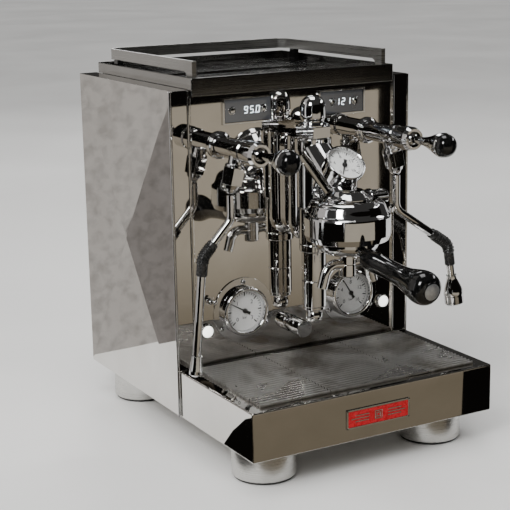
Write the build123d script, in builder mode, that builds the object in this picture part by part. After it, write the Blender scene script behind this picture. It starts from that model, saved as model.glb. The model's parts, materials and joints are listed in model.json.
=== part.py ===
from build123d import *
import os
from math import cos, radians, sin

# A two-boiler espresso machine with a lever-operated brew group, in millimetres.
# X points to the machine's right side as seen from the front, Y to the back and Z up.
# While modelling, X = 0 is the machine's centre plane, Y = 0 the front panel's face, and Z = 0 the
# surface that the feet stand on.

# ---- Housing ----
HALF_WIDTH = 150.0
DEPTH = 248.0  # front panel's face to the back
SHEET = 1.5
EDGE = 1.6  # rounding of the polished sheet's outer edges
FOOT_RADIUS = 34.4
FOOT_HEIGHT = 38.0
FOOT_X = 107.0
FOOT_Y = (-107.0, 195.0)
BASE_FRONT = -161.5
BASE_TOP = 90.8
RIM_SIDE = 15.5
RIM_FRONT = 11.0
SIDE_TOP = 395.2
CREASE = 2.5  # how far the cross-creased side panels bulge
PANEL_HALF = 131.0
PANEL_TOP = 388.2
TRAY_HALF = 128.0
TRAY_FRONT = -4.0
TRAY_BACK = 243.0
TRAY_BOTTOM = 388.5
TRAY_TOP = 407.6
TRAY_FLOOR = 398.0
COVER_HALF = 108.0  # the tank's cover in the warming tray
COVER_Y = (128.0, 222.0)
RAIL_X = 120.0
RAIL_Y = (6.0, 228.0)
RAIL_BOTTOM = 412.5
RAIL_TOP = 424.5
RAIL_THICK = 3.0
GAP = 0.3  # clearance between pieces that move past each other

# ---- Drip tray ----
GRID_HALF = 134.0
GRID_Y = (-150.0, -8.0)
GRID_TOP = 94.0
ROD_RADIUS = 1.9
ROD_COUNT = 24
SECTION_GAP = 1.0

# ---- Front panel fittings ----
DISPLAY_X = 60.0
DISPLAY_Z = 369.7
DISPLAY_SIZE = (61.0, 29.0)
DISPLAY_BUTTONS = {"left": (-79.0, -40.5), "right": (48.0, 77.5)}
GAUGE_X = 70.0
GAUGE_Z = 148.0
LAMP_X = 116.0
LAMP_Z = 131.0
TOGGLE_X = 113.0
TOGGLE_Z = 165.0
TOGGLE_TILT = 8.0
KNOB = (-5.0, 0.0, 121.5)
BADGE_Z = 62.9

# ---- Brew group ----
BODY_Y = -21.0
COLUMN_Y = -37.0
BELL_Y = -104.0
BELL_TOP = [(46.0, 264.8), (45.4, 266.4), (44.0, 267.6), (41.8, 271.2), (40.0, 276.0), (37.4, 280.0),
            (32.0, 282.6), (26.0, 283.4), (0, 283.6)]
FLANGE_Z = 286.0
GROUP_Z = 310.0
CAM_Z = 264.5
BOWL_BOTTOM = 223.0  # the portafilter's bowl, outside and inside
BOWL_FLOOR = 229.0
GAUGE_ON_GROUP = (0.0, -98.0, 316.0)
GROUP_GAUGE_TILT = 45.0
HANDLE_START = (0.0, -141.5, 225.6)
HANDLE_END = (0.0, -234.0, 216.0)

# ---- Valves and wands ----
VALVE_X = 95.0
VALVE_Z = 334.5
VALVE_BALL = 85.0  # from the panel to the lever's ball
COUPLING_Y = -43.0
COUPLING_TILT = 14.0
WAND_BALL = 42.0  # from the valve's axis to the wand's ball
BALL_RADIUS = 5.5
TUBE_RADIUS = 4.6

# The origin is under the middle of the whole machine, wands included.
ORIGIN_SHIFT = -21.0

LEFT, RIGHT = -1, 1
FORWARD = (0, -1, 0)
UP = (0, 0, 1)


def turn(points, origin=(0, 0, 0), direction=UP, curves=(), mode=Mode.ADD):
    """Revolves an outline of (radius, height) points about an axis. curves holds pairs of point
    numbers, and the outline is a smooth curve through the points from one to the other."""
    axis = Vector(*direction).normalized()
    side = Plane(origin=origin, z_dir=axis).x_dir
    starts = {first: last for first, last in curves}
    with BuildSketch(Plane(origin=origin, x_dir=side, z_dir=side.cross(axis))) as outline:
        with BuildLine():
            index = 0
            while index < len(points) - 1:
                last = starts.get(index, index + 1)
                if last - index > 1:
                    Spline(*points[index : last + 1])
                else:
                    Line(points[index], points[last])
                index = last
            Line(points[-1], points[0])
        make_face()
    revolve(outline.sketch, axis=Axis(origin, tuple(axis)), mode=mode)


def slab(x, y, z, mode=Mode.ADD):
    """A box between two values on each axis."""
    with Locations(((x[0] + x[1]) / 2, (y[0] + y[1]) / 2, (z[0] + z[1]) / 2)):
        Box(abs(x[1] - x[0]), abs(y[1] - y[0]), abs(z[1] - z[0]), mode=mode)


def drill(x, z, radius, y=(-20.0, 20.0)):
    """Cuts a round hole through the front panel."""
    turn([(0, -y[1]), (radius, -y[1]), (radius, -y[0]), (0, -y[0])], (x, 0, z), FORWARD,
         mode=Mode.SUBTRACT)


def pipe(points, bend, radius, bore=0.0):
    """Sweeps a round bar or tube along straight runs joined by tangent arcs."""
    with BuildLine() as route:
        FilletPolyline(*points, radius=bend)
    start = Plane(origin=route.line @ 0, z_dir=route.line % 0)
    with BuildSketch(start) as section:
        Circle(radius)
        if bore:
            Circle(bore, mode=Mode.SUBTRACT)
    sweep(section.sketch, path=route.line)


def hexagon(across, z, direction=UP, origin=(0, 0, 0), taper=0.0):
    """A six-sided nut between two heights along a direction."""
    frame = Plane(origin=origin, z_dir=Vector(*direction))
    with BuildSketch(frame.offset(z[0])) as profile:
        RegularPolygon(across / 2, 6, major_radius=False)
    extrude(profile.sketch, amount=z[1] - z[0], dir=frame.z_dir, taper=taper)


# ======== Housing ========

with BuildPart() as base_casing:
    slab((-HALF_WIDTH, HALF_WIDTH), (BASE_FRONT, 0), (FOOT_HEIGHT, BASE_TOP))
    back_edges = base_casing.edges().group_by(Axis.Y)[-1]
    fillet([edge for edge in base_casing.edges() if edge not in back_edges], radius=EDGE)
    inner_half = HALF_WIDTH - SHEET - GAP
    slab((-inner_half, inner_half), (-SHEET, DEPTH), (FOOT_HEIGHT, BASE_TOP))
    slab((-inner_half + SHEET, inner_half - SHEET), (BASE_FRONT + SHEET, DEPTH - SHEET),
         (FOOT_HEIGHT + SHEET, BASE_TOP - SHEET), mode=Mode.SUBTRACT)
    slab((-GRID_HALF - 0.6, GRID_HALF + 0.6), (GRID_Y[0] - 0.6, GRID_Y[1] + 0.6),
         (FOOT_HEIGHT + 10, BASE_TOP + 1), mode=Mode.SUBTRACT)
    slab((-inner_half + RIM_SIDE, inner_half - RIM_SIDE), (8, DEPTH - RIM_FRONT),
         (FOOT_HEIGHT + 10, BASE_TOP + 1), mode=Mode.SUBTRACT)

with BuildPart() as feet:
    for foot_x in (-FOOT_X, FOOT_X):
        for foot_y in FOOT_Y:
            turn([(0, 0), (30, 0), (30, 3), (FOOT_RADIUS - 1, 3), (FOOT_RADIUS, 4),
                  (FOOT_RADIUS, FOOT_HEIGHT - 1), (FOOT_RADIUS - 1, FOOT_HEIGHT), (0, FOOT_HEIGHT)],
                 (foot_x, foot_y, 0))

with BuildPart() as left_side_panel:
    outer = -HALF_WIDTH
    inner = outer + SHEET
    with BuildSketch(Plane.XY.offset(FOOT_HEIGHT)):
        Polygon((inner, 0), (outer, 0), (outer - CREASE, DEPTH / 2), (outer, DEPTH), (inner, DEPTH),
                align=None)
    extrude(amount=SIDE_TOP - FOOT_HEIGHT)
    middle_z = (FOOT_HEIGHT + SIDE_TOP) / 2
    with BuildSketch(Plane.XZ):
        Polygon((inner, FOOT_HEIGHT), (outer, FOOT_HEIGHT), (outer - CREASE, middle_z),
                (outer, SIDE_TOP), (inner, SIDE_TOP), align=None)
    extrude(amount=-DEPTH, mode=Mode.INTERSECT)
    slab((outer, -PANEL_HALF - GAP), (0, SHEET), (BASE_TOP + GAP, SIDE_TOP))
    slab((outer, -TRAY_HALF - GAP), (0, DEPTH), (SIDE_TOP - SHEET, SIDE_TOP))

with BuildPart() as right_side_panel:
    mirror(left_side_panel.part, about=Plane.YZ)

with BuildPart() as front_panel:
    slab((-PANEL_HALF, PANEL_HALF), (0, SHEET), (BASE_TOP + GAP, PANEL_TOP))
    for side in (LEFT, RIGHT):
        slab((side * (PANEL_HALF - 2.4), side * PANEL_HALF), (-2.2, 0), (BASE_TOP + GAP, PANEL_TOP))
        drill(side * GAUGE_X, GAUGE_Z, 25.0)
        drill(side * LAMP_X, LAMP_Z, 6.5)
        drill(side * TOGGLE_X, TOGGLE_Z, 4.3)
        drill(side * VALVE_X, VALVE_Z, 8.3)
        slab((side * DISPLAY_X - 28.3, side * DISPLAY_X + 28.3), (-1, SHEET + 1),
             (DISPLAY_Z - 12.3, DISPLAY_Z + 12.3), mode=Mode.SUBTRACT)
    drill(0, GROUP_Z, 20.3)
    drill(KNOB[0], KNOB[2], 3.05)

with BuildPart() as rear_panel:
    slab((-HALF_WIDTH + SHEET + GAP, HALF_WIDTH - SHEET - GAP), (DEPTH - SHEET, DEPTH),
         (BASE_TOP + GAP, SIDE_TOP - SHEET - GAP))
    with BuildSketch(Plane.XZ.offset(-DEPTH)) as vents:
        with Locations((0, 330)):
            with GridLocations(34, 10, 6, 7):
                SlotOverall(26, 3.5)
    extrude(vents.sketch, amount=SHEET * 2, both=True, mode=Mode.SUBTRACT)

with BuildPart() as power_inlet:
    slab((86, 114), (DEPTH, DEPTH + 3), (52, 76))
    fillet(power_inlet.edges().filter_by(Axis.Y), radius=3)
    slab((90, 110), (DEPTH + 1, DEPTH + 4), (56.5, 71.5), mode=Mode.SUBTRACT)
    for pin_x in (94, 100, 106):
        slab((pin_x - 1, pin_x + 1), (DEPTH + 0.5, DEPTH + 3), (61, 67))

with BuildPart() as cup_tray:
    slab((-TRAY_HALF, TRAY_HALF), (TRAY_FRONT, TRAY_BACK), (TRAY_BOTTOM, TRAY_TOP))
    bottom_edges = cup_tray.edges().group_by(Axis.Z)[0]
    fillet([edge for edge in cup_tray.edges() if edge not in bottom_edges], radius=1.2)
    wall = TRAY_HALF - SHEET
    slab((-wall, wall), (TRAY_FRONT + SHEET, TRAY_BACK - SHEET), (TRAY_FLOOR, TRAY_TOP + 1),
         mode=Mode.SUBTRACT)
    slab((-wall, wall), (TRAY_FRONT + SHEET, TRAY_BACK - SHEET), (TRAY_BOTTOM - 1, TRAY_FLOOR - SHEET),
         mode=Mode.SUBTRACT)
    slab((-TRAY_HALF - 1, TRAY_HALF + 1), (4, TRAY_BACK + 1), (TRAY_BOTTOM - 1, SIDE_TOP + GAP),
         mode=Mode.SUBTRACT)
    slab((-TRAY_HALF, TRAY_HALF), (TRAY_FRONT - 1.2, TRAY_FRONT), (TRAY_BOTTOM, TRAY_BOTTOM + 2))
    slab((-COVER_HALF + 4, COVER_HALF - 4), (COVER_Y[0] + 4, COVER_Y[1] - 4),
         (TRAY_BOTTOM, TRAY_FLOOR + 1), mode=Mode.SUBTRACT)
    with BuildSketch(Plane.XY.offset(TRAY_FLOOR)) as slots:
        with Locations((0, 62)):
            with GridLocations(30, 12, 7, 8):
                SlotOverall(22, 4)
    extrude(slots.sketch, amount=SHEET * 2, both=True, mode=Mode.SUBTRACT)

with BuildPart() as tank_cover:
    cover_z = TRAY_FLOOR + GAP
    slab((-COVER_HALF, COVER_HALF), COVER_Y, (cover_z, cover_z + SHEET))
    rim_half = COVER_HALF - 5
    rim_y = (COVER_Y[0] + 5, COVER_Y[1] - 5)
    slab((-rim_half, rim_half), rim_y, (TRAY_FLOOR - 3, cover_z))
    slab((-rim_half + SHEET, rim_half - SHEET), (rim_y[0] + SHEET, rim_y[1] - SHEET),
         (TRAY_FLOOR - 4, cover_z), mode=Mode.SUBTRACT)
    with BuildSketch(Plane.XY.offset(cover_z)) as cover_slots:
        with Locations((0, (COVER_Y[0] + COVER_Y[1]) / 2)):
            with GridLocations(30, 12, 6, 6):
                SlotOverall(22, 4)
    extrude(cover_slots.sketch, amount=SHEET * 2, both=True, mode=Mode.SUBTRACT)

with BuildPart() as cup_rail:
    with BuildSketch(Plane.XY.offset(RAIL_BOTTOM)) as rail_plan:
        with BuildLine():
            rail_line = FilletPolyline((-RAIL_X, RAIL_Y[0]), (-RAIL_X, RAIL_Y[1]), (RAIL_X, RAIL_Y[1]),
                                       (RAIL_X, RAIL_Y[0]), radius=14)
        trace(rail_line, line_width=RAIL_THICK)
    extrude(amount=RAIL_TOP - RAIL_BOTTOM)
    for side in (LEFT, RIGHT):
        with BuildSketch(Plane.YZ.offset(side * RAIL_X - RAIL_THICK / 2)) as leg:
            with BuildLine():
                Polyline((RAIL_Y[0], TRAY_FLOOR), (RAIL_Y[0], RAIL_TOP), (RAIL_Y[0] + 20, RAIL_TOP),
                         (RAIL_Y[0] + 20, RAIL_BOTTOM))
                TangentArc((RAIL_Y[0] + 20, RAIL_BOTTOM), (RAIL_Y[0] + 12, RAIL_BOTTOM - 8),
                           tangent=(-1, 0))
                Polyline((RAIL_Y[0] + 12, RAIL_BOTTOM - 8), (RAIL_Y[0] + 12, TRAY_FLOOR),
                         (RAIL_Y[0], TRAY_FLOOR))
            make_face()
        extrude(leg.sketch, amount=RAIL_THICK, dir=(1, 0, 0))
        slab((side * RAIL_X - 2.6, side * RAIL_X + 2.6), (RAIL_Y[0] - 2, RAIL_Y[0]),
             (TRAY_FLOOR, RAIL_TOP))

with BuildPart() as rail_standoffs:
    for side in (LEFT, RIGHT):
        slab((side * RAIL_X - 3.5, side * RAIL_X + 3.5), (195, 205), (TRAY_FLOOR, RAIL_BOTTOM))

with BuildPart() as badge_plate:
    slab((-39.5, 39.5), (BASE_FRONT - 1.6, BASE_FRONT), (BADGE_Z - 10.6, BADGE_Z + 10.6))
    slab((-37.3, 37.3), (BASE_FRONT - 2.6, BASE_FRONT - 0.8), (BADGE_Z - 8.4, BADGE_Z + 8.4),
         mode=Mode.SUBTRACT)
    slab((-37.1, 37.1), (BASE_FRONT - 1.3, BASE_FRONT - 0.8), (BADGE_Z - 8.2, BADGE_Z + 8.2))

# ======== Drip tray and its grid ========

with BuildPart() as drip_tray:
    pan_x = GRID_HALF - GAP
    pan_y = (GRID_Y[0] + GAP, GRID_Y[1] - GAP)
    slab((-pan_x, pan_x), pan_y, (FOOT_HEIGHT + SHEET + GAP, BASE_TOP - 3))
    fillet(drip_tray.edges().filter_by(Axis.Z), radius=6)
    slab((-pan_x + SHEET, pan_x - SHEET), (pan_y[0] + SHEET, pan_y[1] - SHEET),
         (FOOT_HEIGHT + 2 * SHEET + GAP, BASE_TOP), mode=Mode.SUBTRACT)

seam = GRID_HALF / 2.65
section_spans = ((-GRID_HALF, -seam - SECTION_GAP / 2), (-seam + SECTION_GAP / 2, seam - SECTION_GAP / 2),
                 (seam + SECTION_GAP / 2, GRID_HALF))
rod_z = GRID_TOP - ROD_RADIUS
rod_y = GRID_Y[0] + ROD_RADIUS
pitch = (GRID_Y[1] - ROD_RADIUS - rod_y) / (ROD_COUNT - 1)
grid_sections = []
for low, high in section_spans:
    with BuildPart() as section:
        with Locations(*[Plane(((low + high) / 2, rod_y + n * pitch, rod_z), z_dir=(1, 0, 0))
                         for n in range(ROD_COUNT)]):
            Cylinder(ROD_RADIUS, high - low)
        for bar_x in (low + 3, (low + high) / 2, high - 3):
            slab((bar_x - 1.5, bar_x + 1.5), (GRID_Y[0] + 0.3, GRID_Y[1] - 0.3),
                 (BASE_TOP - 2.6, rod_z))
    grid_sections.append(section.part)

with BuildPart() as drip_grid:
    for grid_section in grid_sections:
        add(grid_section)

# ======== Displays, lamps, switches and knob ========

with BuildPart() as display_frames:
    for side in (LEFT, RIGHT):
        width, height = DISPLAY_SIZE
        middle = side * DISPLAY_X
        slab((middle - width / 2, middle + width / 2), (-2.6, 0),
             (DISPLAY_Z - height / 2, DISPLAY_Z + height / 2))
        slab((middle - width / 2 + 2, middle + width / 2 - 2), (-4, 1),
             (DISPLAY_Z - height / 2 + 2, DISPLAY_Z + height / 2 - 2), mode=Mode.SUBTRACT)

with BuildPart() as display_glasses:
    for side in (LEFT, RIGHT):
        middle = side * DISPLAY_X
        slab((middle - 28.2, middle + 28.2), (-1.4, 0), (DISPLAY_Z - 12.2, DISPLAY_Z + 12.2))
        slab((middle - 28, middle + 28), (0, 9), (DISPLAY_Z - 12, DISPLAY_Z + 12))
    for spots in DISPLAY_BUTTONS.values():
        for spot in spots:
            drill(spot, DISPLAY_Z + 0.3, 3.4, y=(-4, 6))

display_buttons = {}
for display, spots in DISPLAY_BUTTONS.items():
    for end, spot in zip(("left", "right"), spots):
        with BuildPart() as display_button:
            turn([(0, -3), (3.1, -3), (3.1, 2.6), (2.6, 3.2), (0, 3.4)],
                 (spot, 0, DISPLAY_Z + 0.3), FORWARD)
        display_buttons[f"{display}_display_{end}_button"] = display_button

with BuildPart() as lamp_and_switch_rings:
    for side in (LEFT, RIGHT):
        turn([(6.05, 0), (8.4, 0), (8.4, 1.6), (7.6, 3.4), (6.6, 3.8), (6.05, 3.0)],
             (side * LAMP_X, 0, LAMP_Z), FORWARD)
        where = (side * TOGGLE_X, 0, TOGGLE_Z)
        turn([(0, -16), (4.2, -16), (4.2, 0), (3.4, 0), (3.4, 6), (0, 6)], where, FORWARD)
        hexagon(10.5, (0, 2.6), FORWARD, where)
        turn([(0, 2), (2.9, 2), (2.9, 7), (0, 7)], where, FORWARD, mode=Mode.SUBTRACT)

with BuildPart() as lamp_lenses:
    for side in (LEFT, RIGHT):
        turn([(0, -14), (6, -14), (6, 2.8), (5.2, 4.4), (3, 5.3), (0, 5.6)],
             (side * LAMP_X, 0, LAMP_Z), FORWARD, curves=((2, 5),))

toggles = {}
for side, name in ((LEFT, "left_toggle"), (RIGHT, "right_toggle")):
    pivot = (side * TOGGLE_X, -5.0, TOGGLE_Z)
    lean = (0, -cos(radians(TOGGLE_TILT)), sin(radians(TOGGLE_TILT)))
    with BuildPart() as toggle:
        turn([(0, -2.4), (1.7, -1.7), (2.4, 0), (1.4, 2.2), (1.5, 6), (2.4, 11), (2.5, 12.4),
              (1.8, 13.8), (0, 14.3)], pivot, lean, curves=((0, 3), (3, 8)))
    toggles[name] = toggle

with BuildPart() as pressure_knob:
    turn([(0, -12), (3, -12), (3, 0.4), (8, 0.4), (8, 4.6), (9.6, 5.4), (10, 6.2), (10, 12.6),
          (9.5, 13), (9.5, 13.8), (10, 14.2), (10, 24), (9.4, 24.8), (0, 24.8)], KNOB, FORWARD)

# ======== Pressure gauges ========


def gauge_dial(radius, origin, direction):
    """A gauge's face, one millimetre thick, with a hole for the needle's pin."""
    turn([(1.05, 0), (radius, 0), (radius, 1), (1.05, 1)], origin, direction)


def gauge_needle(length, origin, direction, angle):
    """A pointer with its hub, tail and pin, turned about the dial's axis."""
    face = Plane(origin=origin, x_dir=(1, 0, 0), z_dir=Vector(*direction)).offset(1.5)
    turn([(0, -0.6), (1, -0.6), (1, 1.5), (2.8, 1.5), (2.8, 2.9), (0, 2.9)], origin, direction)
    with BuildSketch(face) as pointer:
        with Locations(Rotation(0, 0, angle)):
            Polygon((-7.5, 1.9), (-7.5, -1.9), (0, -0.8), (length, -0.3), (length, 0.3), (0, 0.8),
                    align=None)
    extrude(pointer.sketch, amount=0.7, dir=face.z_dir)


with BuildPart() as gauge_cases:
    for side in (LEFT, RIGHT):
        turn([(0, -28), (24.5, -28), (24.5, 0), (37, 0), (37, 1.6), (27.4, 1.6), (27.4, 8),
              (26.8, 9.8), (25, 10.6), (23, 8.8), (22.9, 3), (0, 3)],
             (side * GAUGE_X, 0, GAUGE_Z), FORWARD, curves=((6, 9),))
        turn([(0, 2.2), (1.2, 2.2), (1.2, 4), (0, 4)], (side * GAUGE_X, 0, GAUGE_Z), FORWARD,
             mode=Mode.SUBTRACT)

with BuildPart() as gauge_screws:
    for side in (LEFT, RIGHT):
        for bearing in (90, 212, 328):
            spot = (side * GAUGE_X + 32.6 * cos(radians(bearing)), 0,
                    GAUGE_Z + 32.6 * sin(radians(bearing)))
            turn([(0, 1.6), (2.7, 1.6), (2.7, 2.4), (1.9, 3.8), (0, 4.3)], spot, FORWARD,
                 curves=((2, 4),))

group_gauge_axis = (0, -sin(radians(GROUP_GAUGE_TILT)), cos(radians(GROUP_GAUGE_TILT)))


def on_group_gauge(height):
    """A point on the group gauge's axis, at a height above the back of its dial."""
    return tuple(Vector(*GAUGE_ON_GROUP) + Vector(*group_gauge_axis) * height)


with BuildPart() as group_gauge_case:
    turn([(0, -20), (6, -20), (6, -15), (19, -14), (20, -12.8), (20, -1), (21.8, 0), (21.8, 5),
          (21, 6.8), (19.8, 6), (19.8, 0), (0, 0)], on_group_gauge(0), group_gauge_axis,
         curves=((7, 9),))
    turn([(0, -0.8), (1.2, -0.8), (1.2, 1), (0, 1)], on_group_gauge(0), group_gauge_axis,
         mode=Mode.SUBTRACT)

with BuildPart() as gauge_dials:
    for side in (LEFT, RIGHT):
        gauge_dial(22.7, (side * GAUGE_X, -3.0, GAUGE_Z), FORWARD)
    gauge_dial(19.6, on_group_gauge(0), group_gauge_axis)

with BuildPart() as gauge_lenses:
    for side in (LEFT, RIGHT):
        turn([(0, 0), (22.8, 0), (22.8, 1), (16, 1.5), (0, 1.8)], (side * GAUGE_X, -7.4, GAUGE_Z), FORWARD,
             curves=((2, 4),))
    turn([(0, 0), (19.7, 0), (19.7, 1), (12, 1.4), (0, 1.6)], on_group_gauge(4.0), group_gauge_axis,
         curves=((2, 4),))

with BuildPart() as left_gauge_needle:
    gauge_needle(20.0, (-GAUGE_X, -3.0, GAUGE_Z), FORWARD, 150)

with BuildPart() as right_gauge_needle:
    gauge_needle(20.0, (GAUGE_X, -3.0, GAUGE_Z), FORWARD, 122)

with BuildPart() as group_gauge_needle:
    gauge_needle(13.5, on_group_gauge(0), group_gauge_axis, 238)

# ======== Brew group ========

column = (0, COLUMN_Y, 0)
bell = (0, BELL_Y, 0)

with BuildPart() as group_body:
    turn([(0, 262), (17, 262), (18.5, 264), (18.5, 318), (20, 326), (20, 338.5), (18.5, 340), (0, 340)],
         column)
    with BuildSketch(Plane((0, COLUMN_Y - 6, 322), x_dir=(1, 0, 0), z_dir=(0, -0.82, -0.57))) as arm_top:
        RectangleRounded(38, 38, 18.8)
    with BuildSketch(Plane((0, BELL_Y + 1, 281), x_dir=(1, 0, 0), z_dir=(0, -0.5, -0.87))) as arm_foot:
        RectangleRounded(32, 29, 14.3)
    loft([arm_top.sketch.face(), arm_foot.sketch.face()])
    turn([(0, 276), (27, 276), (27, 284.4), (22.5, 286.8), (17, 291.5), (0, 291.5)], bell,
         curves=((2, 4),))
    with BuildSketch(Plane.XZ) as flange:
        with Locations((0, FLANGE_Z)):
            RectangleRounded(34, 112, 16.5)
    extrude(flange.sketch, amount=5)
    turn([(0, 223.6), (8, 224.6), (14, 228.4), (18, 235), (19.6, 243), (19.6, 341), (0, 341)], (0, BODY_Y, 0),
         curves=((1, 4),))
    turn([(0, -12), (20, -12), (20, 0), (0, 0)], (0, 0, GROUP_Z), FORWARD)
    turn([(0, 0), (12, 0), (12, 24), (10.5, 40), (9, 44), (0, 44)], (14, COLUMN_Y, CAM_Z), (1, 0, 0))
    turn([(0, 10), (6.05, 10), (6.05, 50), (0, 50)], (14, COLUMN_Y, CAM_Z), (1, 0, 0),
         mode=Mode.SUBTRACT)
    turn([(0, 200), (60, 200), (60, BELL_TOP[0][1]), *BELL_TOP], bell, curves=((5, 10),),
         mode=Mode.SUBTRACT)
    turn([(0, 200), (16.3, 200), (16.3, 262), (0, 262)], column, mode=Mode.SUBTRACT)
    turn([(0, -20.3), (6.2, -20.3), (6.2, -15.4), (20.4, -15.4), (20.4, 20), (0, 20)], on_group_gauge(0),
         group_gauge_axis, mode=Mode.SUBTRACT)
    slab((-40, 40), (-90, 20), (340, 370), mode=Mode.SUBTRACT)

with BuildPart() as group_bell:
    turn([(0, 262), (42, 262), (42, 247), (35.6, 247), (35.6, 240), (43.5, 240), (46, 246), *BELL_TOP],
         bell, curves=((9, 14),))
    for end in (0, 180):
        with BuildSketch(Plane.XY.offset(238)) as lug_slot:
            with Locations(Location((0, BELL_Y), end - 52)):
                with Locations((38, 0)):
                    Rectangle(9, 19)
        extrude(lug_slot.sketch, amount=10, mode=Mode.SUBTRACT)

with BuildPart() as group_gasket:
    turn([(28.6, 254.8), (36, 254.8), (36, 262), (28.6, 262)], bell)

with BuildPart() as shower_screen:
    turn([(0, 256), (28.2, 256), (28.2, 262), (27.2, 262), (27.2, 257), (0, 257)], bell)
    with BuildSketch(Plane.XY.offset(255)) as spray:
        with Locations((0, BELL_Y)):
            with PolarLocations(10, 8):
                Circle(1.2)
            with PolarLocations(20, 14):
                Circle(1.2)
    extrude(spray.sketch, amount=3, mode=Mode.SUBTRACT)

with BuildPart() as mushroom_cap:
    hexagon(36.5, (340, 351.5), origin=column)
    turn([(0, 351.5), (16.5, 351.5), (16.5, 353), (13, 355), (12.6, 357), (13.6, 359.5), (14.2, 364),
          (14.1, 370), (12.6, 377), (8.5, 382), (0, 384)], column, curves=((3, 10),))

with BuildPart() as valve_column:
    turn([(0, 132.4), (5.6, 132.4), (8.2, 134.4), (9.2, 138), (9, 142), (7.8, 145), (7.8, 146.6),
          (11.8, 147.4), (12.4, 148.4), (12.4, 151), (13.4, 152), (13.4, 180.2), (12.7, 181),
          (13.4, 181.8), (13.4, 213.4), (15.4, 214), (16, 214.8), (16, 221.4), (15.3, 222.2),
          (16, 223), (16, 262), (0, 262)], column, curves=((1, 5),))
    turn([(0, 132), (5, 132), (5, 146), (0, 146)], column, mode=Mode.SUBTRACT)
    for bearing in range(0, 180, 45):
        across = (cos(radians(bearing)), sin(radians(bearing)), 0)
        turn([(0, -12), (1.4, -12), (1.4, 12), (0, 12)], (0, COLUMN_Y, 138.5), across,
             mode=Mode.SUBTRACT)

with BuildPart() as brew_lever:
    hub = (14, COLUMN_Y, CAM_Z)
    turn([(0, 12), (6, 12), (6, 44.6), (9.8, 44.6), (10.8, 45.8), (10.8, 49), (9.8, 50), (9.8, 57),
          (10.6, 58), (10.6, 60), (8.8, 61), (8.8, 79), (7.6, 81), (0, 81.6)], hub, (1, 0, 0))
    for flute in range(8):
        bearing = radians(45 * flute)
        spot = (hub[0], hub[1] + 10.4 * cos(bearing), hub[2] + 10.4 * sin(bearing))
        turn([(0, 63.5), (2.6, 63.5), (2.6, 84), (0, 84)], spot, (1, 0, 0), mode=Mode.SUBTRACT)
    blade_plane = Plane((hub[0] + 52, COLUMN_Y, CAM_Z - 3.5), x_dir=(1, 0, 0), z_dir=(0, -0.03, 1))
    with BuildSketch(blade_plane) as blade:
        with BuildLine():
            Spline((7, 0), (11, -24), (7, -46), (-4, -60))
            Spline((-4, -60), (-9, -44), (-8, -22), (-4, 0))
            Line((-4, 0), (7, 0))
        make_face()
    extrude(blade.sketch, amount=4.6, dir=blade_plane.z_dir)
    fillet(brew_lever.edges().group_by(Axis.Y)[0], radius=1.0)

# ======== Portafilter ========

with BuildPart() as portafilter_body:
    turn([(0, BOWL_BOTTOM), (9.5, BOWL_BOTTOM), (21, BOWL_BOTTOM + 1.2), (28.5, BOWL_BOTTOM + 4.6),
          (32.2, BOWL_BOTTOM + 9), (33, BOWL_BOTTOM + 13), (33, 238.6), (34.8, 238.6), (34.8, 253.6),
          (0, 253.6)], bell, curves=((1, 5),))
    with BuildSketch(Plane.XY.offset(247.4)) as lugs:
        with Locations((0, BELL_Y)):
            Rectangle(81, 15)
            Circle(34, mode=Mode.SUBTRACT)
    extrude(lugs.sketch, amount=4.6)
    handle_axis = Vector(*HANDLE_END) - Vector(*HANDLE_START)
    turn([(0, -18), (7.5, -18), (7.5, 0), (4.5, 0), (4.5, 26), (0, 26)], HANDLE_START, handle_axis)
    turn([(0, BOWL_FLOOR), (27, BOWL_FLOOR), (30.4, BOWL_FLOOR + 3.4), (31, BOWL_FLOOR + 7), (31, 254),
          (0, 254)], bell, mode=Mode.SUBTRACT)
    turn([(0, BOWL_BOTTOM - 1), (4, BOWL_BOTTOM - 1), (4, BOWL_FLOOR + 1), (0, BOWL_FLOOR + 1)], bell,
         mode=Mode.SUBTRACT)

with BuildPart() as filter_basket:
    basket = BOWL_FLOOR + 1
    turn([(0, basket), (26, basket), (29.6, basket + 3), (29.6, 253.7), (34, 253.7), (34, 254.5),
          (28.8, 254.5), (28.8, basket + 3.4), (25.6, basket + 0.8), (0, basket + 0.8)], bell)

with BuildPart() as portafilter_spout:
    turn([(0, 199), (8, 199), (9, 200), (9, 212.1), (8.6, 212.5), (9, 212.9), (9, BOWL_BOTTOM),
          (0, BOWL_BOTTOM)], bell)
    for side in (LEFT, RIGHT):
        pipe([(0, BELL_Y, 212), (side * 25, BELL_Y, 214.5), (side * 32, BELL_Y, 190)], 14, 5.6)
    turn([(0, 208), (3, 208), (3, BOWL_BOTTOM + 1), (0, BOWL_BOTTOM + 1)], bell, mode=Mode.SUBTRACT)

with BuildPart() as portafilter_handle:
    turn([(4.6, 0), (9.6, 0), (10.6, 1.5), (11, 10), (10.4, 34), (10.4, 52), (12.4, 72), (16, 88),
          (17.2, 97), (15.6, 105), (11.5, 109.5), (9.8, 110), (9.6, 111), (6, 112.2), (0, 112.8),
          (0, 27), (4.6, 27)],
         HANDLE_START, handle_axis, curves=((2, 10), (12, 14)))

# ======== Valves and wands ========


def along_coupling(side, distance):
    """A point on a coupling's leaning axis, measured from the valve's own axis."""
    lean_angle = radians(COUPLING_TILT)
    return (side * (VALVE_X + distance * sin(lean_angle)), COUPLING_Y,
            VALVE_Z - distance * cos(lean_angle))


def coupling_axis(side):
    """The direction in which a coupling hangs from its valve."""
    return tuple(Vector(*along_coupling(side, 1)) - Vector(*along_coupling(side, 0)))


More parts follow.
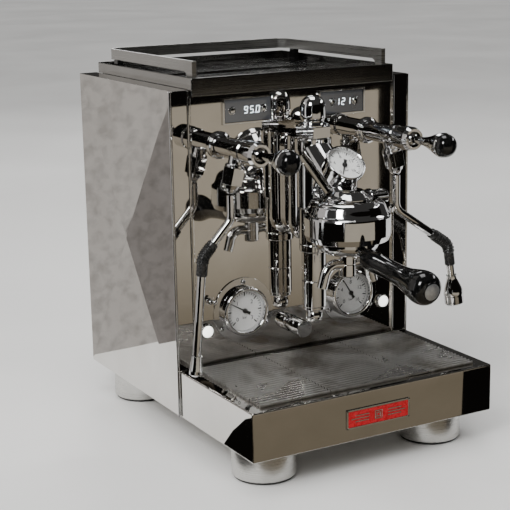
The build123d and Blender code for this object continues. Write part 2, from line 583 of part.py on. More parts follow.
with BuildPart() as valve_bodies:
    for side in (LEFT, RIGHT):
        where = (side * VALVE_X, 0, VALVE_Z)
        turn([(0, -18), (8, -18), (8, 0), (15, 0), (15, 1.6), (13.4, 2.4), (13.4, 3.6), (12.4, 4.2),
              (12.4, 5.4), (10.8, 6), (10.8, 50), (12.6, 51), (12.6, 61), (11.6, 62), (11.6, 64),
              (13.2, 65), (13.2, 86), (11.4, 91), (8.6, 91), (8.6, 76), (0, 76)], where, FORWARD)
        foot = along_coupling(side, 0)
        direction = coupling_axis(side)
        turn([(0, 0), (8.4, 0), (8.4, 15), (0, 15)], foot, direction)
        turn([(0, 15), (9.4, 15), (10.8, 16.2), (10.8, 18), (9.4, 19.4), (0, 19.4)], foot, direction)
        hexagon(22.5, (19, 37), direction, foot, taper=3)
        turn([(0, 36), (9.4, 37), (7.4, 41.6), (0, 41.6)], foot, direction)
        turn([(0, 34), (BALL_RADIUS + GAP, 34), (BALL_RADIUS + GAP, 43), (0, 43)], foot, direction,
             mode=Mode.SUBTRACT)

valve_levers = {}
for side, name in ((LEFT, "steam_lever"), (RIGHT, "water_lever")):
    centre = (side * VALVE_X, -VALVE_BALL, VALVE_Z)
    with BuildPart() as valve_lever:
        turn([(0, -7.8), (5.5, -5.5), (7.8, 0), (6.6, 4.2), (4.3, 6.6), (4.1, 16), (4.8, 24), (7.4, 36),
              (10.6, 46), (12.8, 54), (13.3, 58), (12.9, 59.2), (0, 59.2)], centre, FORWARD,
             curves=((0, 4), (4, 10)))
    valve_levers[name] = valve_lever
    with BuildPart() as lever_cap:
        turn([(0, 59.2), (12.6, 59.2), (12.0, 63.5), (9.6, 68), (5.6, 71), (0, 72)], centre, FORWARD,
             curves=((1, 5),))
    valve_levers[name + "_cap"] = lever_cap

wand_balls = {}
for side, name in ((LEFT, "steam_ball"), (RIGHT, "water_ball")):
    with BuildPart() as wand_ball:
        with Locations(along_coupling(side, WAND_BALL)):
            Sphere(BALL_RADIUS)
    wand_balls[name] = wand_ball

steam_start = along_coupling(LEFT, WAND_BALL)
water_start = along_coupling(RIGHT, WAND_BALL)
steam_route = [(steam_start[0], COUPLING_Y, steam_start[2] - BALL_RADIUS - GAP),
               (steam_start[0], COUPLING_Y, 262), (-140, COUPLING_Y, 225), (-151.5, COUPLING_Y, 104)]
water_route = [(water_start[0], COUPLING_Y, water_start[2] - BALL_RADIUS - GAP),
               (water_start[0], COUPLING_Y, 249), (179, COUPLING_Y, 199), (188, COUPLING_Y, 140)]


def between(first, second, share):
    """The point part of the way from one to another."""
    return tuple(Vector(*first) + (Vector(*second) - Vector(*first)) * share)


with BuildPart() as steam_wand:
    pipe(steam_route, 16, TUBE_RADIUS)

with BuildPart() as water_wand:
    pipe(water_route, 16, TUBE_RADIUS)

with BuildPart() as steam_grip:
    pipe([between(steam_route[1], steam_route[2], 0.42), steam_route[2],
          between(steam_route[2], steam_route[3], 0.16)], 16, 7.4, bore=TUBE_RADIUS)

with BuildPart() as water_grip:
    pipe([between(water_route[1], water_route[2], 0.66), water_route[2],
          between(water_route[2], water_route[3], 0.42)], 16, 7.4, bore=TUBE_RADIUS)

with BuildPart() as steam_tip:
    tip_axis = Vector(*steam_route[3]) - Vector(*steam_route[2])
    turn([(TUBE_RADIUS, -16), (5.6, -16), (6.4, -6), (7.2, 0), (7.2, 4), (5, 6), (0, 6), (0, 0),
          (TUBE_RADIUS, 0)], steam_route[3], tip_axis, curves=((1, 3),))

with BuildPart() as water_nozzle:
    nozzle_axis = Vector(*water_route[3]) - Vector(*water_route[2])
    turn([(TUBE_RADIUS, -22), (6, -22), (7.4, -14), (11, -4), (11.6, 3), (11.6, 12), (10.4, 13.6),
          (8, 13.6), (8, 2), (TUBE_RADIUS, 0)], water_route[3], nozzle_axis, curves=((1, 4),))

# ======== Inside ========

with BuildPart() as boilers:
    for radius, half, centre in ((50, 105, (0, 86, 205)), (33, 62, (0, 66, 322))):
        ends = [(0, -half), (radius - 8, -half), (radius, -half + 8), (radius, half - 8),
                (radius - 8, half), (0, half)]
        turn(ends, centre, (1, 0, 0))

with BuildPart() as water_tank:
    slab((-112, 112), (146, 240), (96, 386))
    fillet(water_tank.edges().filter_by(Axis.Z), radius=10)
    slab((-109, 109), (149, 237), (99, 390), mode=Mode.SUBTRACT)

with BuildPart() as pump:
    turn([(0, 0), (37, 0), (39, 3), (39, 96), (37, 99), (18, 99), (18, 138), (0, 138)],
         (-92, 84, 94), (1, 0, 0))
    slab((-80, 10), (64, 104), (FOOT_HEIGHT + SHEET, 60))

pieces = {
    "base_casing": base_casing,
    "feet": feet,
    "left_side_panel": left_side_panel,
    "right_side_panel": right_side_panel,
    "front_panel": front_panel,
    "rear_panel": rear_panel,
    "power_inlet": power_inlet,
    "cup_tray": cup_tray,
    "tank_cover": tank_cover,
    "cup_rail": cup_rail,
    "rail_standoffs": rail_standoffs,
    "badge_plate": badge_plate,
    "drip_tray": drip_tray,
    "drip_grid": drip_grid,
    "display_frames": display_frames,
    "display_glasses": display_glasses,
    **display_buttons,
    "lamp_lenses": lamp_lenses,
    "lamp_and_switch_rings": lamp_and_switch_rings,
    **toggles,
    "pressure_knob": pressure_knob,
    "gauge_cases": gauge_cases,
    "gauge_screws": gauge_screws,
    "group_gauge_case": group_gauge_case,
    "gauge_dials": gauge_dials,
    "gauge_lenses": gauge_lenses,
    "left_gauge_needle": left_gauge_needle,
    "right_gauge_needle": right_gauge_needle,
    "group_gauge_needle": group_gauge_needle,
    "group_body": group_body,
    "group_bell": group_bell,
    "group_gasket": group_gasket,
    "shower_screen": shower_screen,
    "mushroom_cap": mushroom_cap,
    "valve_column": valve_column,
    "brew_lever": brew_lever,
    "portafilter_body": portafilter_body,
    "filter_basket": filter_basket,
    "portafilter_spout": portafilter_spout,
    "portafilter_handle": portafilter_handle,
    "valve_bodies": valve_bodies,
    **valve_levers,
    **wand_balls,
    "steam_wand": steam_wand,
    "water_wand": water_wand,
    "steam_grip": steam_grip,
    "water_grip": water_grip,
    "steam_tip": steam_tip,
    "water_nozzle": water_nozzle,
    "boilers": boilers,
    "water_tank": water_tank,
    "pump": pump,
}

os.makedirs("parts", exist_ok=True)
for name, piece in pieces.items():
    finished = piece.part.moved(Location((ORIGIN_SHIFT, 0, 0)))
    finished.label = name
    export_step(finished, f"parts/{name}.step")
print(len(pieces), "pieces")
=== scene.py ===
import json
from math import cos, pi, radians, sin, tan

import bmesh
import bpy
from mathutils import Matrix, Vector


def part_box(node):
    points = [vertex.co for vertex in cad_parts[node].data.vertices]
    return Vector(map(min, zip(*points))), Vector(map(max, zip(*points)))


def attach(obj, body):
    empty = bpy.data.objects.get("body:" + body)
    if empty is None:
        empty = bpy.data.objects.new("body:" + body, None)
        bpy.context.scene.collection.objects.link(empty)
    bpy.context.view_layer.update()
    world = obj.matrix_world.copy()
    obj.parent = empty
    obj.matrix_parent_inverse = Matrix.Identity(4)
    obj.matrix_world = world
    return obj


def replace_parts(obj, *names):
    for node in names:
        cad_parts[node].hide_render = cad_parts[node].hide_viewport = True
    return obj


# The looks of a two-boiler espresso machine, in metres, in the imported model's frame:
# X to the machine's right seen from the front, Y to its back, Z up from the surface it stands on.

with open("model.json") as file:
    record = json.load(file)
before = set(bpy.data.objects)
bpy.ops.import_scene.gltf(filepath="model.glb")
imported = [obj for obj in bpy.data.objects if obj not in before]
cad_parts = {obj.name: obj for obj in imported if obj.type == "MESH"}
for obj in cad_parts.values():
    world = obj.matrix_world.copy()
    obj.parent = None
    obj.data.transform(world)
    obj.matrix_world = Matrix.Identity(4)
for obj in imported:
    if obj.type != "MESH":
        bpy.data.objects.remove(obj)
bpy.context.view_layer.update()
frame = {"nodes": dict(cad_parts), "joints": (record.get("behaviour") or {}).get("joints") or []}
nodes = frame["nodes"]
joints = {joint["name"]: joint for joint in frame["joints"]}

MM = 0.001
panel_low, panel_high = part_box("front_panel")
CENTRE = (panel_low.x + panel_high.x) / 2  # the machine's own centre plane
SIDES = (("left", -1), ("right", 1))


def at(x, y, z):
    """A point given in millimetres from the machine's centre plane, front panel and floor."""
    return Vector((CENTRE + x * MM, y * MM, z * MM))


# ---- Materials ----


class Shader:
    """A node material with one Principled shader. Its patterns lie in object space, so they ride along."""

    def __init__(self, name, roughness=0.5, metallic=0.0, **sockets):
        self.material = bpy.data.materials.new(name)
        self.material.use_nodes = True
        self.tree = self.material.node_tree
        self.tree.nodes.clear()
        self.output = self.node("ShaderNodeOutputMaterial")
        self.bsdf = self.node("ShaderNodeBsdfPrincipled")
        self.link(self.bsdf.outputs[0], self.output.inputs[0])
        self.set("Roughness", roughness)
        self.set("Metallic", metallic)
        for socket, value in sockets.items():
            self.set(socket.replace("_", " "), value)

    def node(self, kind, **settings):
        made = self.tree.nodes.new(kind)
        for key, value in settings.items():
            setattr(made, key, value)
        return made

    def link(self, source, target):
        self.tree.links.new(source, target)

    def set(self, socket, value):
        self.bsdf.inputs[socket].default_value = value

    def noise(self, scale, detail=3.0, stretch=(1, 1, 1), distortion=0.0):
        """Fractal noise with scale features per metre, stretched along the axes."""
        place = self.node("ShaderNodeTexCoord")
        mapping = self.node("ShaderNodeMapping")
        mapping.inputs["Scale"].default_value = stretch
        made = self.node("ShaderNodeTexNoise")
        made.inputs["Scale"].default_value = scale
        made.inputs["Detail"].default_value = detail
        made.inputs["Distortion"].default_value = distortion
        self.link(place.outputs["Object"], mapping.inputs["Vector"])
        self.link(mapping.outputs["Vector"], made.inputs["Vector"])
        return made.outputs["Fac"]

    def spread(self, source, low, high, start=0.3, stop=0.7):
        """Carries a pattern's values to a range."""
        ranged = self.node("ShaderNodeMapRange")
        for socket, value in (("From Min", start), ("From Max", stop), ("To Min", low), ("To Max", high)):
            ranged.inputs[socket].default_value = value
        self.link(source, ranged.inputs["Value"])
        return ranged.outputs["Result"]

    def colours(self, source, dark, light, start=0.3, stop=0.7, socket="Base Color"):
        """Colours the surface, or its glow, from dark to light by a pattern."""
        ramp = self.node("ShaderNodeValToRGB")
        ramp.color_ramp.elements[0].position = start
        ramp.color_ramp.elements[1].position = stop
        ramp.color_ramp.elements[0].color = (*dark, 1)
        ramp.color_ramp.elements[1].color = (*light, 1)
        self.link(source, ramp.inputs["Fac"])
        self.link(ramp.outputs["Color"], self.bsdf.inputs[socket])

    def rough(self, source, low, high, start=0.3, stop=0.7):
        self.link(self.spread(source, low, high, start, stop), self.bsdf.inputs["Roughness"])

    def bump(self, source, depth, strength=1.0, edge=0.0):
        """Raises a pattern by a depth in metres. edge rounds the look of sharp edges by that radius."""
        made = self.node("ShaderNodeBump")
        made.inputs["Distance"].default_value = depth
        made.inputs["Strength"].default_value = strength
        self.link(source, made.inputs["Height"])
        if edge:
            rounded = self.node("ShaderNodeBevel", samples=4)
            rounded.inputs["Radius"].default_value = edge
            self.link(rounded.outputs["Normal"], made.inputs["Normal"])
        self.link(made.outputs["Normal"], self.bsdf.inputs["Normal"])


def mirror_steel():
    """Mirror-polished sheet: slow waves of the pressed metal, faint polishing haze and smudges."""
    shader = Shader("mirror_steel", metallic=1.0)
    smudges = shader.noise(14, detail=6, distortion=0.6)
    shader.colours(smudges, (0.66, 0.64, 0.61), (0.74, 0.725, 0.70))
    shader.rough(smudges, 0.012, 0.045, 0.35, 0.75)
    shader.bump(shader.noise(5, detail=1), 0.0005, edge=0.0014)
    return shader.material


def chrome():
    """Chrome plate over polished castings, with slight polishing unevenness."""
    shader = Shader("chrome", metallic=1.0)
    haze = shader.noise(40, detail=5)
    shader.colours(haze, (0.70, 0.70, 0.71), (0.80, 0.80, 0.80))
    shader.rough(haze, 0.02, 0.07)
    shader.bump(shader.noise(70, detail=2), 0.00003, edge=0.0004)
    return shader.material


def brushed_steel(name, stretch, tone=0.62, low=0.24, high=0.36):
    """Turned or brushed steel, with streaks across the stretched axis and faint handling marks."""
    shader = Shader(name, metallic=1.0, Anisotropic=0.4)
    marks = shader.noise(24, detail=6)
    streaks = shader.noise(60, detail=4, stretch=stretch)
    shader.colours(marks, (tone * 0.93, tone * 0.915, tone * 0.88), (tone * 1.04, tone * 1.03, tone * 1.0))
    shader.rough(streaks, low, high)
    shader.bump(streaks, 0.000012, edge=0.0006)
    return shader.material


def grid_steel():
    """The drip grid's rods: polished wire, dulled where coffee has dried on it."""
    shader = Shader("grid_steel", metallic=1.0)
    stains = shader.noise(14, detail=6, distortion=0.8)
    shader.colours(stains, (0.36, 0.33, 0.29), (0.84, 0.82, 0.79), 0.36, 0.54)
    shader.rough(stains, 0.4, 0.24)
    return shader.material


def gloss_black():
    """Moulded phenolic: deep gloss with fine speckle under a clear skin."""
    shader = Shader("gloss_black", Coat_Weight=0.5, Coat_Roughness=0.03, Specular_IOR_Level=0.35)
    speckle = shader.noise(500, detail=4)
    shader.colours(speckle, (0.002, 0.002, 0.002), (0.006, 0.006, 0.006), 0.4, 0.7)
    shader.rough(shader.noise(30, detail=2), 0.06, 0.11)
    shader.bump(shader.noise(60, detail=1), 0.00001, edge=0.0005)
    return shader.material


def rubber():
    """Matt black rubber with a fine grain and dusty high spots."""
    shader = Shader("rubber", Specular_IOR_Level=0.5)
    grain = shader.noise(260, detail=6)
    shader.colours(grain, (0.008, 0.008, 0.008), (0.028, 0.027, 0.026), 0.35, 0.75)
    shader.rough(grain, 0.18, 0.32)
    shader.bump(shader.noise(1600, detail=2), 0.00006)
    return shader.material


def dial_face():
    """A printed dial: matt off-white with the slightest mottling."""
    shader = Shader("dial_face")
    mottle = shader.noise(90, detail=5)
    shader.colours(mottle, (0.84, 0.84, 0.82), (0.90, 0.90, 0.88))
    shader.rough(mottle, 0.42, 0.6)
    return shader.material


def ink_and_painted_shade():
    """Black enamel of needles and printed marks, also used as painted shade in the gauge screws' sockets and
    the rear screws' cross slots.
    """
    shader = Shader("ink_and_painted_shade", Coat_Weight=0.2)
    grain = shader.noise(700, detail=3)
    shader.colours(grain, (0.008, 0.008, 0.008), (0.028, 0.027, 0.026))
    shader.rough(grain, 0.3, 0.45)
    return shader.material


def clear_glass():
    """A thin gauge lens, clear with a faint film."""
    shader = Shader("clear_glass", roughness=0.02, Alpha=0.07, Specular_IOR_Level=1.0, Coat_Weight=1.0)
    film = shader.noise(60, detail=4)
    shader.colours(film, (0.02, 0.021, 0.022), (0.05, 0.052, 0.055))
    return shader.material


def display_glass():
    """The smoked window of a display, with a faint graded tint."""
    shader = Shader("display_glass", Coat_Weight=1.0, Coat_Roughness=0.02, Specular_IOR_Level=0.9)
    tint = shader.noise(12, detail=2)
    shader.colours(tint, (0.035, 0.038, 0.045), (0.085, 0.088, 0.095))
    shader.rough(shader.noise(80, detail=5), 0.04, 0.1)
    return shader.material


def lit(name, colour, strength):
    """A glowing surface, with the unevenness of a moulded lens."""
    shader = Shader(name, roughness=0.3, Emission_Color=(*colour, 1), Emission_Strength=strength)
    mottle = shader.noise(300, detail=3)
    shader.colours(mottle, [c * 0.9 for c in colour], colour)
    shader.bump(mottle, 0.0001)
    return shader.material


def enamel_red():
    """Red badge enamel under clear lacquer."""
    shader = Shader("enamel_red", Coat_Weight=0.5, Coat_Roughness=0.04, Specular_IOR_Level=0.3)
    depth = shader.noise(200, detail=4)
    shader.colours(depth, (0.36, 0.002, 0.008), (0.50, 0.006, 0.014))
    shader.rough(depth, 0.22, 0.34)
    shader.bump(shader.noise(900, detail=2), 0.00002)
    return shader.material


def satin_disc():
    """Grey satin metal of the handle's end disc."""
    shader = Shader("satin_disc", metallic=0.9)
    grain = shader.noise(400, detail=5)
    shader.colours(grain, (0.42, 0.43, 0.45), (0.56, 0.57, 0.58))
    shader.rough(grain, 0.34, 0.48)
    shader.bump(grain, 0.00002)
    return shader.material


def plain_inside(name, dark, light, metallic, low, high):
    """Materials of the pieces inside the housing: boilers, tank, pump and seals."""
    shader = Shader(name, metallic=metallic)
    mottle = shader.noise(45, detail=6)
    shader.colours(mottle, dark, light)
    shader.rough(mottle, low, high)
    shader.bump(shader.noise(500, detail=3), 0.00004)
    return shader.material


MIRROR, CHROME = mirror_steel(), chrome()
TURNED = brushed_steel("turned_steel", (0.15, 0.15, 30))
BRUSHED = brushed_steel("brushed_steel", (0.12, 0.12, 24), tone=0.5)
TRAY = brushed_steel("tray_steel", (0.12, 0.12, 24), tone=0.42, low=0.09, high=0.13)
# The whole drip tray's steel is darkened to tone 0.22: painted shade, standing in for the shadowed inside of
# the pan under the grid.
PAN_WITH_PAINTED_SHADE = brushed_steel("pan_steel_painted_shade", (0.15, 12, 0.15), tone=0.22, low=0.3, high=0.45)
GRID, BLACK, RUBBER = grid_steel(), gloss_black(), rubber()
DIAL, INK_AND_PAINTED_SHADE, LENS, WINDOW = dial_face(), ink_and_painted_shade(), clear_glass(), display_glass()
LAMP = lit("lamp_glow", (1.0, 1.0, 0.93), 2.6)
DIGITS = lit("digit_glow", (0.85, 0.93, 1.0), 3.0)
RED, SATIN = enamel_red(), satin_disc()
COPPER = plain_inside("copper", (0.45, 0.22, 0.13), (0.75, 0.42, 0.28), 1.0, 0.2, 0.4)
TANK = plain_inside("tank_plastic", (0.62, 0.66, 0.68), (0.76, 0.79, 0.81), 0.0, 0.3, 0.5)
CAST = plain_inside("cast_metal", (0.24, 0.25, 0.27), (0.4, 0.41, 0.43), 1.0, 0.35, 0.6)
SEAL = plain_inside("seal_rubber", (0.03, 0.018, 0.012), (0.09, 0.05, 0.035), 0.0, 0.5, 0.7)

NODE_MATERIALS = {
    MIRROR: ["base_casing", "left_side_panel", "right_side_panel", "front_panel", "rear_panel"],
    TURNED: ["feet"],
    PAN_WITH_PAINTED_SHADE: ["drip_tray"],
    BRUSHED: ["filter_basket", "shower_screen", "cup_rail"],
    TRAY: ["cup_tray", "tank_cover"],
    GRID: ["drip_grid"],
    CHROME: ["display_frames", "left_display_left_button", "left_display_right_button",
             "right_display_left_button", "right_display_right_button", "lamp_and_switch_rings",
             "left_toggle", "right_toggle", "pressure_knob", "gauge_cases", "gauge_screws",
             "group_gauge_case", "group_body", "group_bell", "mushroom_cap", "valve_column", "brew_lever",
             "portafilter_body", "portafilter_spout", "valve_bodies", "steam_lever", "water_lever",
             "steam_ball", "water_ball", "steam_wand", "water_wand", "steam_tip", "water_nozzle"],
    BLACK: ["power_inlet", "rail_standoffs", "portafilter_handle", "steam_lever_cap", "water_lever_cap"],
    RUBBER: ["steam_grip", "water_grip"],
    DIAL: ["gauge_dials"],
    INK_AND_PAINTED_SHADE: ["left_gauge_needle", "right_gauge_needle", "group_gauge_needle"],
    LENS: ["gauge_lenses"],
    WINDOW: ["display_glasses"],
    LAMP: ["lamp_lenses"],
    RED: ["badge_plate"],
    COPPER: ["boilers"],
    TANK: ["water_tank"],
    CAST: ["pump"],
    SEAL: ["group_gasket"],
}
for finish, names in NODE_MATERIALS.items():
    for name in names:
        slots = nodes[name].material_slots
        if slots:
            for material_slot in slots:
                material_slot.material = finish
        else:
            nodes[name].data.materials.append(finish)

# ---- Shapes ----


def axes(origin, direction, side=(1, 0, 0)):
    """A matrix whose Z runs along a direction from a point, with X near side."""
    z = Vector(direction).normalized()
    y = z.cross(Vector(side)).normalized()
    x = y.cross(z)
    turned = Matrix((x, y, z)).transposed().to_4x4()
    return Matrix.Translation(Vector(origin)) @ turned


def piece(name, mesh, finish, body="machine", smooth=True):
    """Makes a piece from a bmesh that is already in place."""
    bmesh.ops.recalc_face_normals(mesh, faces=mesh.faces)
    data = bpy.data.meshes.new(name)
    mesh.to_mesh(data)
    mesh.free()
    data.materials.append(finish)
    made = bpy.data.objects.new(name, data)
    bpy.context.scene.collection.objects.link(made)
    if smooth:
        data.shade_smooth()
        data.set_sharp_from_angle(angle=radians(35))
    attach(made, body)
    return made


def add_box(mesh, place, size, centre=(0, 0, 0)):
    """Adds a box to a bmesh, in a placed frame."""
    grown = Matrix.Diagonal((*size, 1))
    bmesh.ops.create_cube(mesh, size=1, matrix=place @ Matrix.Translation(Vector(centre)) @ grown)


def add_turned(mesh, place, outline, segments=64):
    """Adds a closed turned shape from (radius, height) points, about a placed frame's Z."""
    rings = []
    for radius, height in outline:
        if radius < 1e-7:
            rings.append([mesh.verts.new(place @ Vector((0, 0, height)))])
        else:
            rings.append([mesh.verts.new(place @ Vector((radius * cos(2 * pi * n / segments),
                                                         radius * sin(2 * pi * n / segments), height)))
                          for n in range(segments)])
    for first, second in zip(rings, rings[1:]):
        for n in range(segments):
            after = (n + 1) % segments
            corners = [first[n % len(first)], first[after % len(first)],
                       second[after % len(second)], second[n % len(second)]]
            unique = list(dict.fromkeys(corners))
            if len(unique) > 2:
                mesh.faces.new(unique)
    if len(rings[0]) > 1 and len(rings[-1]) > 1:
        for n in range(segments):
            after = (n + 1) % segments
            mesh.faces.new((rings[-1][n], rings[-1][after], rings[0][after], rings[0][n]))


def add_text(mesh, place, words, size, depth):
    """Adds raised figures, centred on a placed frame's origin."""
    curve = bpy.data.curves.new("figures", "FONT")
    curve.body = words
    curve.size = size
    curve.extrude = depth / 2
    curve.align_x = "CENTER"
    curve.align_y = "CENTER"
    holder = bpy.data.objects.new("figures", curve)
    flat = bpy.data.meshes.new_from_object(holder)
    flat.transform(place)
    mesh.from_mesh(flat)
    bpy.data.objects.remove(holder)
    bpy.data.meshes.remove(flat)
    bpy.data.curves.remove(curve)


# ---- Gauges ----

SCALE_START = 225  # degrees, at the lower left of a dial
SCALE_SWEEP = 270
PANEL_DIAL, GROUP_DIAL = 22.6 * MM, 19.3 * MM  # radii
PRINT = 0.12 * MM  # how thick the print lies
BREW_FIGURES = {0: "0", 2: "4", 4: "8", 6: "12", 8: "16"}
BOILER_FIGURES = {0: "0", 2: "1", 4: "2", 6: "3"}


def dial_marks(gauge, radius, figures, steps, step_ticks):
    """A dial's printed scale: arc, fine and heavy ticks, figures and the name of the unit.
    The ticks and the arc hang from one rim, and everything is a share of the dial's radius."""
    needle = joints[gauge + "_needle_swing"]
    face = axes(needle["pos_m"], needle["axis"])
    rim = radius * 0.93
    rise = PRINT / 2
    mesh = bmesh.new()
    fine = steps * step_ticks
    for n in range(fine + 1):
        angle = radians(SCALE_START - SCALE_SWEEP * n / fine)
        heavy = n % step_ticks == 0
        length = radius * (0.19 if heavy else 0.10)
        width = radius * (0.060 if heavy else 0.028)
        spot = face @ Matrix.Rotation(angle, 4, "Z")
        add_box(mesh, spot, (length, width, PRINT), (rim - length / 2, 0, rise))
        if heavy and n // step_ticks in figures:
            reach = radius * 0.57
            place = face @ Matrix.Translation((reach * cos(angle), reach * sin(angle), rise))
            add_text(mesh, place, figures[n // step_ticks], radius * 0.28, PRINT)
    for n in range(fine):
        middle = radians(SCALE_START - SCALE_SWEEP * (n + 0.5) / fine)
        step = radians(SCALE_SWEEP / fine) * rim
        spot = face @ Matrix.Rotation(middle, 4, "Z")
        add_box(mesh, spot, (radius * 0.012, step * 1.02, 0.0001), (radius * 0.935, 0, 0.00005))
    add_text(mesh, face @ Matrix.Translation((0, -radius * 0.34, rise)), "bar", radius * 0.19, PRINT)
    piece(gauge + "_dial_marks", mesh, INK_AND_PAINTED_SHADE, smooth=False)


dial_marks("left", PANEL_DIAL, BOILER_FIGURES, steps=6, step_ticks=5)
dial_marks("right", PANEL_DIAL, BREW_FIGURES, steps=8, step_ticks=4)
dial_marks("group", GROUP_DIAL, BREW_FIGURES, steps=8, step_ticks=4)


def needle_hubs():
    """The polished cap on each needle's hub, which turns with it."""
    for gauge in ("left", "right", "group"):
        joint = joints[gauge + "_needle_swing"]
        mesh = bmesh.new()
        add_turned(mesh, axes(joint["pos_m"], joint["axis"]),
                   [(0, 0.0019), (0.0019, 0.0019), (0.0018, 0.0023), (0.0010, 0.0026), (0, 0.0027)], 32)
        piece(gauge + "_needle_hub", mesh, INK_AND_PAINTED_SHADE, gauge + "_gauge_needle")


needle_hubs()


SCREW_CIRCLE = 32.6 * MM  # radius of the screws' places about a panel gauge
SCREW_BEARINGS = (90, 212, 328)  # degrees


def screw_sockets():
    """Hexagonal sockets in the heads of the panel gauges' screws, drawn as black hexagons: painted shade of
    the recesses.
    """
    mesh = bmesh.new()
    heads_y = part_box("gauge_screws")[0].y
    sunk, proud, corner = -0.4 * MM, 0.03 * MM, 1.15 * MM
    for side, _ in SIDES:
        middle = Vector(joints[side + "_needle_swing"]["pos_m"])
        for bearing in SCREW_BEARINGS:
            angle = radians(bearing)
            spot = middle + Vector((cos(angle), 0, sin(angle))) * SCREW_CIRCLE
            spot.y = heads_y
            add_turned(mesh, axes(spot, (0, -1, 0)),
                       [(0, sunk), (corner, sunk), (corner, proud), (0, proud)], segments=6)
    piece("gauge_screw_sockets", mesh, INK_AND_PAINTED_SHADE, smooth=False)


screw_sockets()

# ---- Displays ----

SEGMENTS = {"0": "abcdef", "1": "bc", "2": "abged", "5": "acdfg", "9": "abcdfg"}
DIGIT_HEIGHT, DIGIT_WIDTH, STROKE = 7.0 * MM, 3.7 * MM, 0.7 * MM
DIGIT_PITCH, GLOW_DEPTH = 7.3 * MM, 0.1 * MM
LEAN = 0.10  # sideways per unit of height
LEFT_FIGURES_X, RIGHT_FIGURES_X = -62.0 * MM, 54.8 * MM  # the first figure, from the centre plane


def digit(mesh, place, figure):
    """Seven-segment figure, leaning a little, in a placed frame."""
    half_h, half_w = DIGIT_HEIGHT / 2, DIGIT_WIDTH / 2
    spans = {"a": (0, half_h, 1), "g": (0, 0, 1), "d": (0, -half_h, 1), "f": (-half_w, half_h / 2, 0),
             "b": (half_w, half_h / 2, 0), "e": (-half_w, -half_h / 2, 0), "c": (half_w, -half_h / 2, 0)}
    lean = Matrix.Identity(4)
    lean[0][1] = LEAN
    for mark in SEGMENTS[figure]:
        x, y, flat = spans[mark]
        long = (DIGIT_WIDTH if flat else half_h) - STROKE * 0.75
        size = (long, STROKE, GLOW_DEPTH) if flat else (STROKE, long, GLOW_DEPTH)
        add_box(mesh, place @ lean, size, (x, y, 0))


def displays():
    """Glowing figures on the two displays, and a ring around each button."""
    low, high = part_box("display_glasses")
    middle_z = (low.z + high.z) / 2
    glow_y = low.y - 0.06 * MM
    mesh = bmesh.new()
    for figures, first in (("950", LEFT_FIGURES_X), ("121", RIGHT_FIGURES_X)):
        for n, figure in enumerate(figures):
            digit(mesh, axes((CENTRE + first + n * DIGIT_PITCH, glow_y, middle_z), (0, -1, 0)), figure)
    # The decimal point stands between the second and the third figure.
    point_x = CENTRE + LEFT_FIGURES_X + 1.55 * DIGIT_PITCH
    point = axes((point_x, glow_y, middle_z - DIGIT_HEIGHT / 2), (0, -1, 0))
    add_box(mesh, point, (STROKE, STROKE, GLOW_DEPTH))
    piece("display_figures", mesh, DIGITS, smooth=False)
    rings = bmesh.new()
    for name in nodes:
        if name.endswith("_button"):
            start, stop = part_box(name)
            spot = ((start.x + stop.x) / 2, low.y, (start.z + stop.z) / 2)
            add_turned(rings, axes(spot, (0, -1, 0)),
                       [(0.0034, 0), (0.0045, 0), (0.0044, 0.0004), (0.0036, 0.0005)], 40)
    piece("display_button_rings", rings, CHROME)


displays()

# ---- Badge ----


def badge():
    """A plain badge: chrome border, red enamel field and a geometric ornament."""
    low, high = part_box("badge_plate")
    middle = ((low.x + high.x) / 2, high.y, (low.z + high.z) / 2)
    width, height, depth = high.x - low.x, high.z - low.z, high.y - low.y
    place = axes(middle, (0, -1, 0))
    rim = 2.0 * MM
    face = depth * 0.6  # the enamel's face, sunk below the border
    border = bmesh.new()
    for x, y, w, h in ((0, height / 2 - rim / 2, width, rim), (0, rim / 2 - height / 2, width, rim),
                       (width / 2 - rim / 2, 0, rim, height), (rim / 2 - width / 2, 0, rim, height)):
        add_box(border, place, (w, h, depth), (x, y, depth / 2))
    frame_piece = piece("badge_border", border, CHROME, smooth=False)
    bevel = frame_piece.modifiers.new("edge", "BEVEL")
    bevel.width = 0.0004
    bevel.segments = 2
    field = bmesh.new()
    add_box(field, place, (width - 2 * rim, height - 2 * rim, face), (0, 0, face / 2))
    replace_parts(piece("badge_field", field, RED, smooth=False), "badge_plate")
    ornament = bmesh.new()
    bar_start, bar_pitch = 12.0 * MM, 3.2 * MM
    for _, side in SIDES:
        for n, length in enumerate((17 * MM, 22 * MM, 17 * MM)):
            add_box(ornament, place, (length, 1.0 * MM, 0.5 * MM),
                    (side * (bar_start + length / 2), (n - 1) * bar_pitch, face + 0.2 * MM))
    lozenge = place @ Matrix.Translation((0, 0, face - 0.3 * MM)) @ Matrix.Rotation(radians(45), 4, "Z")
    band, thick = 1.4 * MM, 0.8 * MM
    for reach in (6.6 * MM, 3.6 * MM):
        add_turned(ornament, lozenge, [(reach - band, 0), (reach, 0), (reach, thick), (reach - band, thick)],
                   segments=4)
    piece("badge_ornament", ornament, CHROME, smooth=False)


badge()

# ---- Wand grips ----

# The wands' couplings and bends as the CAD has them, in millimetres.
COUPLING_X, COUPLING_Y = 95.0, -43.0
BALL_DROP = 42.0
COUPLING_LEAN = radians(14)
BEND = 16 * MM  # radius of a wand's bend along its middle
SLEEVE, RIB = 6.0 * MM, 0.95 * MM  # the sleeve's radius, and how far its ribs stand out
ROUNDED, ROUNDED_BY = 1.2 * MM, 0.8 * MM  # length and depth of the rounding at a sleeve's ends


